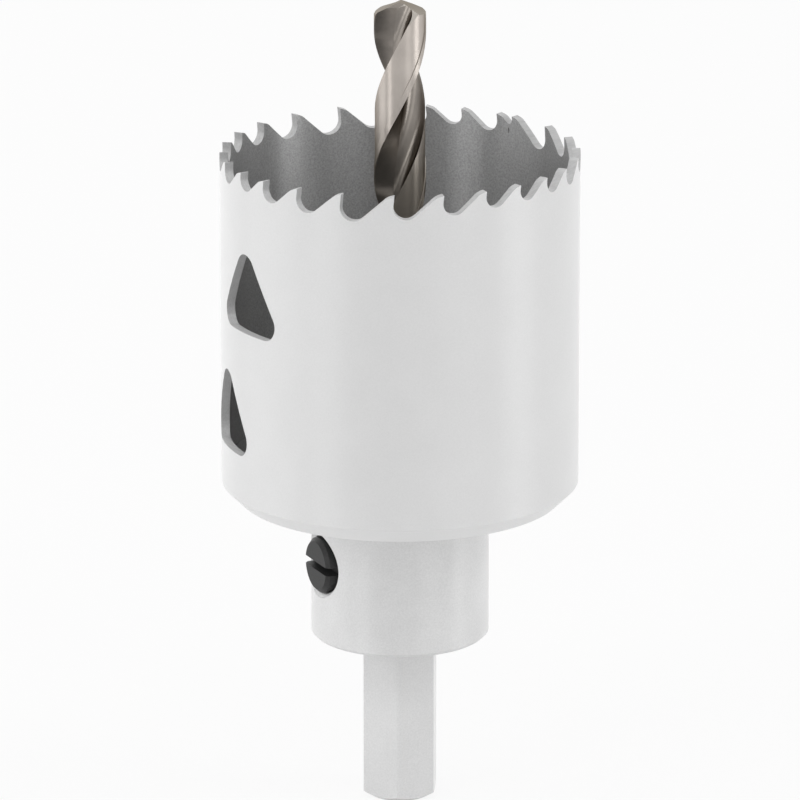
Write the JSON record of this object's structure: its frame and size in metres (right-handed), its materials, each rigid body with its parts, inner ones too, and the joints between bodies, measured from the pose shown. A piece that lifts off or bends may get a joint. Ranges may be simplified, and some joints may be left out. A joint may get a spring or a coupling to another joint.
{
  "type": "hole saw",
  "caption": "Cup-shaped hole saw with staggered chip slots, a collar with a set screw, a hex shank and a twist drill in its centre.",
  "frame": {"origin": "centre of the end face of the hex shank, on the tool axis", "axes": "+Z along the tool axis towards the drill point, -X between the front pair of chip slots and within 6 degrees of the set screw's axis, right-handed"},
  "size_m": [0.044, 0.044, 0.1014],
  "materials": {
    "cup_paint": "satin white paint",
    "arbor_paint": "satin light grey paint",
    "drill_steel": "ground tool steel",
    "black_steel": "blackened steel"
  },
  "bodies": {
    "root": {"saw_shell": "cup_paint", "base_disc": "cup_paint", "arbor": "arbor_paint", "pilot_drill": "drill_steel", "set_screw": "black_steel"}
  },
  "joints": []
}
